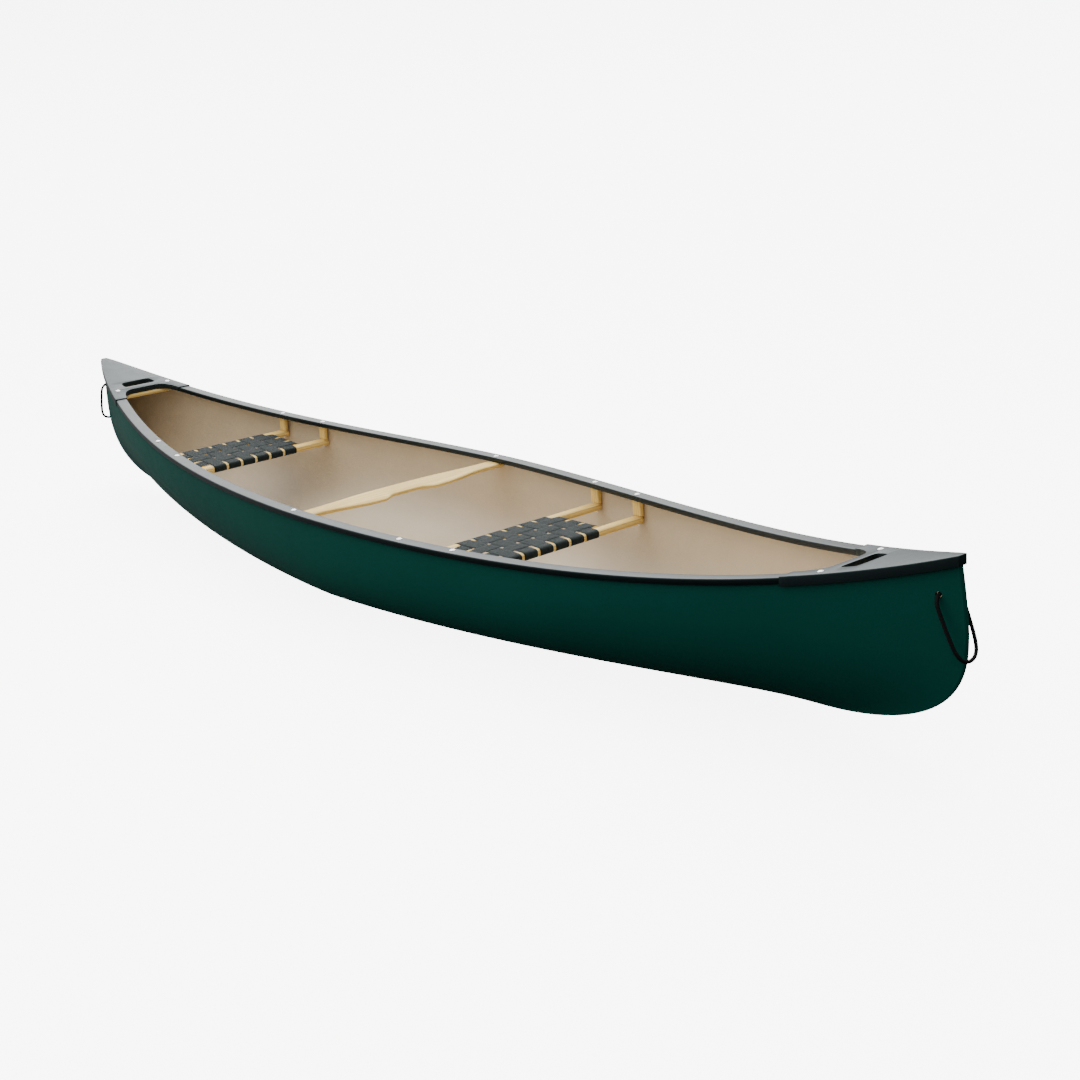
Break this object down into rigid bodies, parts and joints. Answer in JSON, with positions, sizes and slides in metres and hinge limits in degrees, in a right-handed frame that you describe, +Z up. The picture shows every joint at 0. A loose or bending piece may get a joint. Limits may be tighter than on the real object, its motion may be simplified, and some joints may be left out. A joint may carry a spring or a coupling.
{
  "type": "canoe",
  "caption": "Open two-seat paddling canoe with vinyl gunwales, moulded deck plates, hung web seats, carved ash yoke and rope grab loops.",
  "frame": {"origin": "on the ground under the middle of the hull", "axes": "+X towards the bow along the keel, +Y to port, +Z up"},
  "size_m": [4.5416, 0.891, 0.5355],
  "materials": {
    "hull_green": "satin, green outside and tan inside",
    "gunwale_vinyl": "satin extruded vinyl",
    "deck_plastic": "fine moulded grain",
    "gunwale_insert": "mill",
    "ash_wood": "satin varnish",
    "seat_webbing": "woven",
    "fastener_steel": "polished heads",
    "rope": "braided"
  },
  "bodies": {
    "canoe": {"bow_deck_bolt_port": "fastener_steel", "bow_deck_bolt_starboard": "fastener_steel", "bow_deck_nut_port": "fastener_steel", "bow_deck_nut_starboard": "fastener_steel", "bow_deck_plate": "deck_plastic", "bow_deck_thwart": "ash_wood", "bow_seat_front_bolt_port": "fastener_steel", "bow_seat_front_bolt_starboard": "fastener_steel", "bow_seat_front_drop_port": "ash_wood", "bow_seat_front_drop_starboard": "ash_wood", "bow_seat_front_nut_port": "fastener_steel", "bow_seat_front_nut_starboard": "fastener_steel", "bow_seat_front_rail": "ash_wood", "bow_seat_rear_bolt_port": "fastener_steel", "bow_seat_rear_bolt_starboard": "fastener_steel", "bow_seat_rear_drop_port": "ash_wood", "bow_seat_rear_drop_starboard": "ash_wood", "bow_seat_rear_nut_port": "fastener_steel", "bow_seat_rear_nut_starboard": "fastener_steel", "bow_seat_rear_rail": "ash_wood", "bow_seat_side_bar_port": "ash_wood", "bow_seat_side_bar_starboard": "ash_wood", "bow_seat_webbing": "seat_webbing", "gunwale_insert_port": "gunwale_insert", "gunwale_insert_starboard": "gunwale_insert", "gunwale_port": "gunwale_vinyl", "gunwale_starboard": "gunwale_vinyl", "hull_shell": "hull_green", "stern_deck_bolt_port": "fastener_steel", "stern_deck_bolt_starboard": "fastener_steel", "stern_deck_nut_port": "fastener_steel", "stern_deck_nut_starboard": "fastener_steel", "stern_deck_plate": "deck_plastic", "stern_deck_thwart": "ash_wood", "stern_seat_front_bolt_port": "fastener_steel", "stern_seat_front_bolt_starboard": "fastener_steel", "stern_seat_front_drop_port": "ash_wood", "stern_seat_front_drop_starboard": "ash_wood", "stern_seat_front_nut_port": "fastener_steel", "stern_seat_front_nut_starboard": "fastener_steel", "stern_seat_front_rail": "ash_wood", "stern_seat_rear_bolt_port": "fastener_steel", "stern_seat_rear_bolt_starboard": "fastener_steel", "stern_seat_rear_drop_port": "ash_wood", "stern_seat_rear_drop_starboard": "ash_wood", "stern_seat_rear_nut_port": "fastener_steel", "stern_seat_rear_nut_starboard": "fastener_steel", "stern_seat_rear_rail": "ash_wood", "stern_seat_side_bar_port": "ash_wood", "stern_seat_side_bar_starboard": "ash_wood", "stern_seat_webbing": "seat_webbing", "yoke": "ash_wood", "yoke_bolt_port": "fastener_steel", "yoke_bolt_starboard": "fastener_steel", "yoke_nut_port": "fastener_steel", "yoke_nut_starboard": "fastener_steel"},
    "bow_loop": {"bow_grab_loop": "rope", "bow_loop_knot": "rope"},
    "stern_loop": {"stern_grab_loop": "rope", "stern_loop_knot": "rope"}
  },
  "joints": [
    {"name": "bow_grab_loop_swing", "type": "hinge", "parent": "canoe", "child": "bow_loop", "pos_m": [2.198, 0, 0.433], "axis": [0, -1, 0], "range_deg": [0, 80]},
    {"name": "stern_grab_loop_swing", "type": "hinge", "parent": "canoe", "child": "stern_loop", "pos_m": [-2.198, 0, 0.433], "axis": [0, 1, 0], "range_deg": [0, 80]}
  ]
}
